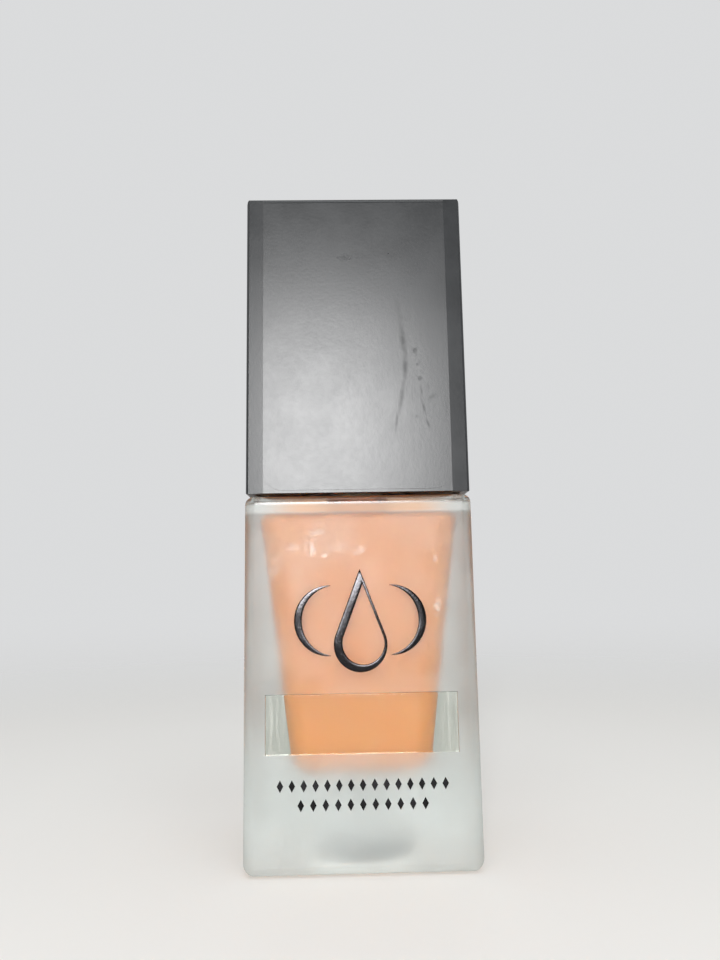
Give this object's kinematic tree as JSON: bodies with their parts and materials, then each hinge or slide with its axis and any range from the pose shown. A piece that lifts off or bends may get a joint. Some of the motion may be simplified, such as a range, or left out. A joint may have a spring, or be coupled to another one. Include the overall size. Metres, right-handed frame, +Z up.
{
  "type": "foundation bottle",
  "caption": "Frosted glass foundation bottle with heavy base and tapered well, screw-on treatment pump and a tall black square overcap that lifts off.",
  "frame": {"origin": "centre of the flat base of the bottle", "axes": "+Z up along the neck, -Y towards the decorated front, +X to the right of a viewer who faces the front"},
  "size_m": [0.035, 0.0271, 0.1037],
  "materials": {
    "frosted_glass": "acid frosted",
    "fluid": "creamy liquid",
    "hot_foil": "bright hot foil",
    "clear_film": "clear gloss film",
    "paper": "coated paper",
    "gasket_foam": "soft",
    "natural_plastic": "natural polypropylene",
    "tube_plastic": "clear extruded tube",
    "black_plastic": "moulded satin",
    "gloss_black_plastic": "polished",
    "satin_black_cap": "satin, lightly scuffed",
    "spring_steel": "bright wire"
  },
  "bodies": {
    "bottle": {"glass_bottle": "frosted_glass", "foundation_fluid": "fluid", "emblem_foil": "hot_foil", "rule_foil": "hot_foil", "clear_label": "clear_film", "base_sticker": "paper"},
    "pump": {"neck_gasket": "gasket_foam", "pump_housing": "natural_plastic", "stem_guide": "black_plastic", "return_spring": "spring_steel", "dip_tube": "tube_plastic"},
    "collar": {"screw_collar": "black_plastic", "collar_sleeve": "gloss_black_plastic"},
    "overcap": {"overcap_shell": "satin_black_cap", "overcap_liner": "black_plastic"},
    "piston": {"piston_seal": "natural_plastic"},
    "head": {"piston_core": "natural_plastic", "stem_tube": "natural_plastic", "actuator": "black_plastic", "nozzle_insert": "black_plastic"},
    "ball": {"inlet_ball": "spring_steel"}
  },
  "joints": [
    {"name": "pump_lift", "type": "slide", "parent": "bottle", "child": "pump", "axis": [0, 0, 1], "range_m": [0, 0.0048]},
    {"name": "collar_turn", "type": "hinge", "parent": "pump", "child": "collar", "pos_m": [0, 0, 0.0558], "axis": [0, 0, 1], "range_deg": [0, 540]},
    {"name": "overcap_lift", "type": "slide", "parent": "collar", "child": "overcap", "axis": [0, 0, 1], "range_m": [0, 0.045]},
    {"name": "pump_stroke", "type": "slide", "parent": "pump", "child": "piston", "axis": [0, 0, -1], "range_m": [0, 0.0045], "stiffness_N_per_m": 600, "springref_m": -0.004, "deforming": ["return_spring"]},
    {"name": "head_swivel", "type": "hinge", "parent": "piston", "child": "head", "pos_m": [0, 0, 0.0738], "axis": [0, 0, 1], "continuous": true},
    {"name": "inlet_ball_lift", "type": "slide", "parent": "pump", "child": "ball", "axis": [0, 0, 1], "range_m": [0, 0.0008]}
  ],
  "couplings": [
    {"joint": "pump_lift", "follows": "collar_turn", "m_per_rad": 0.00050532}
  ]
}
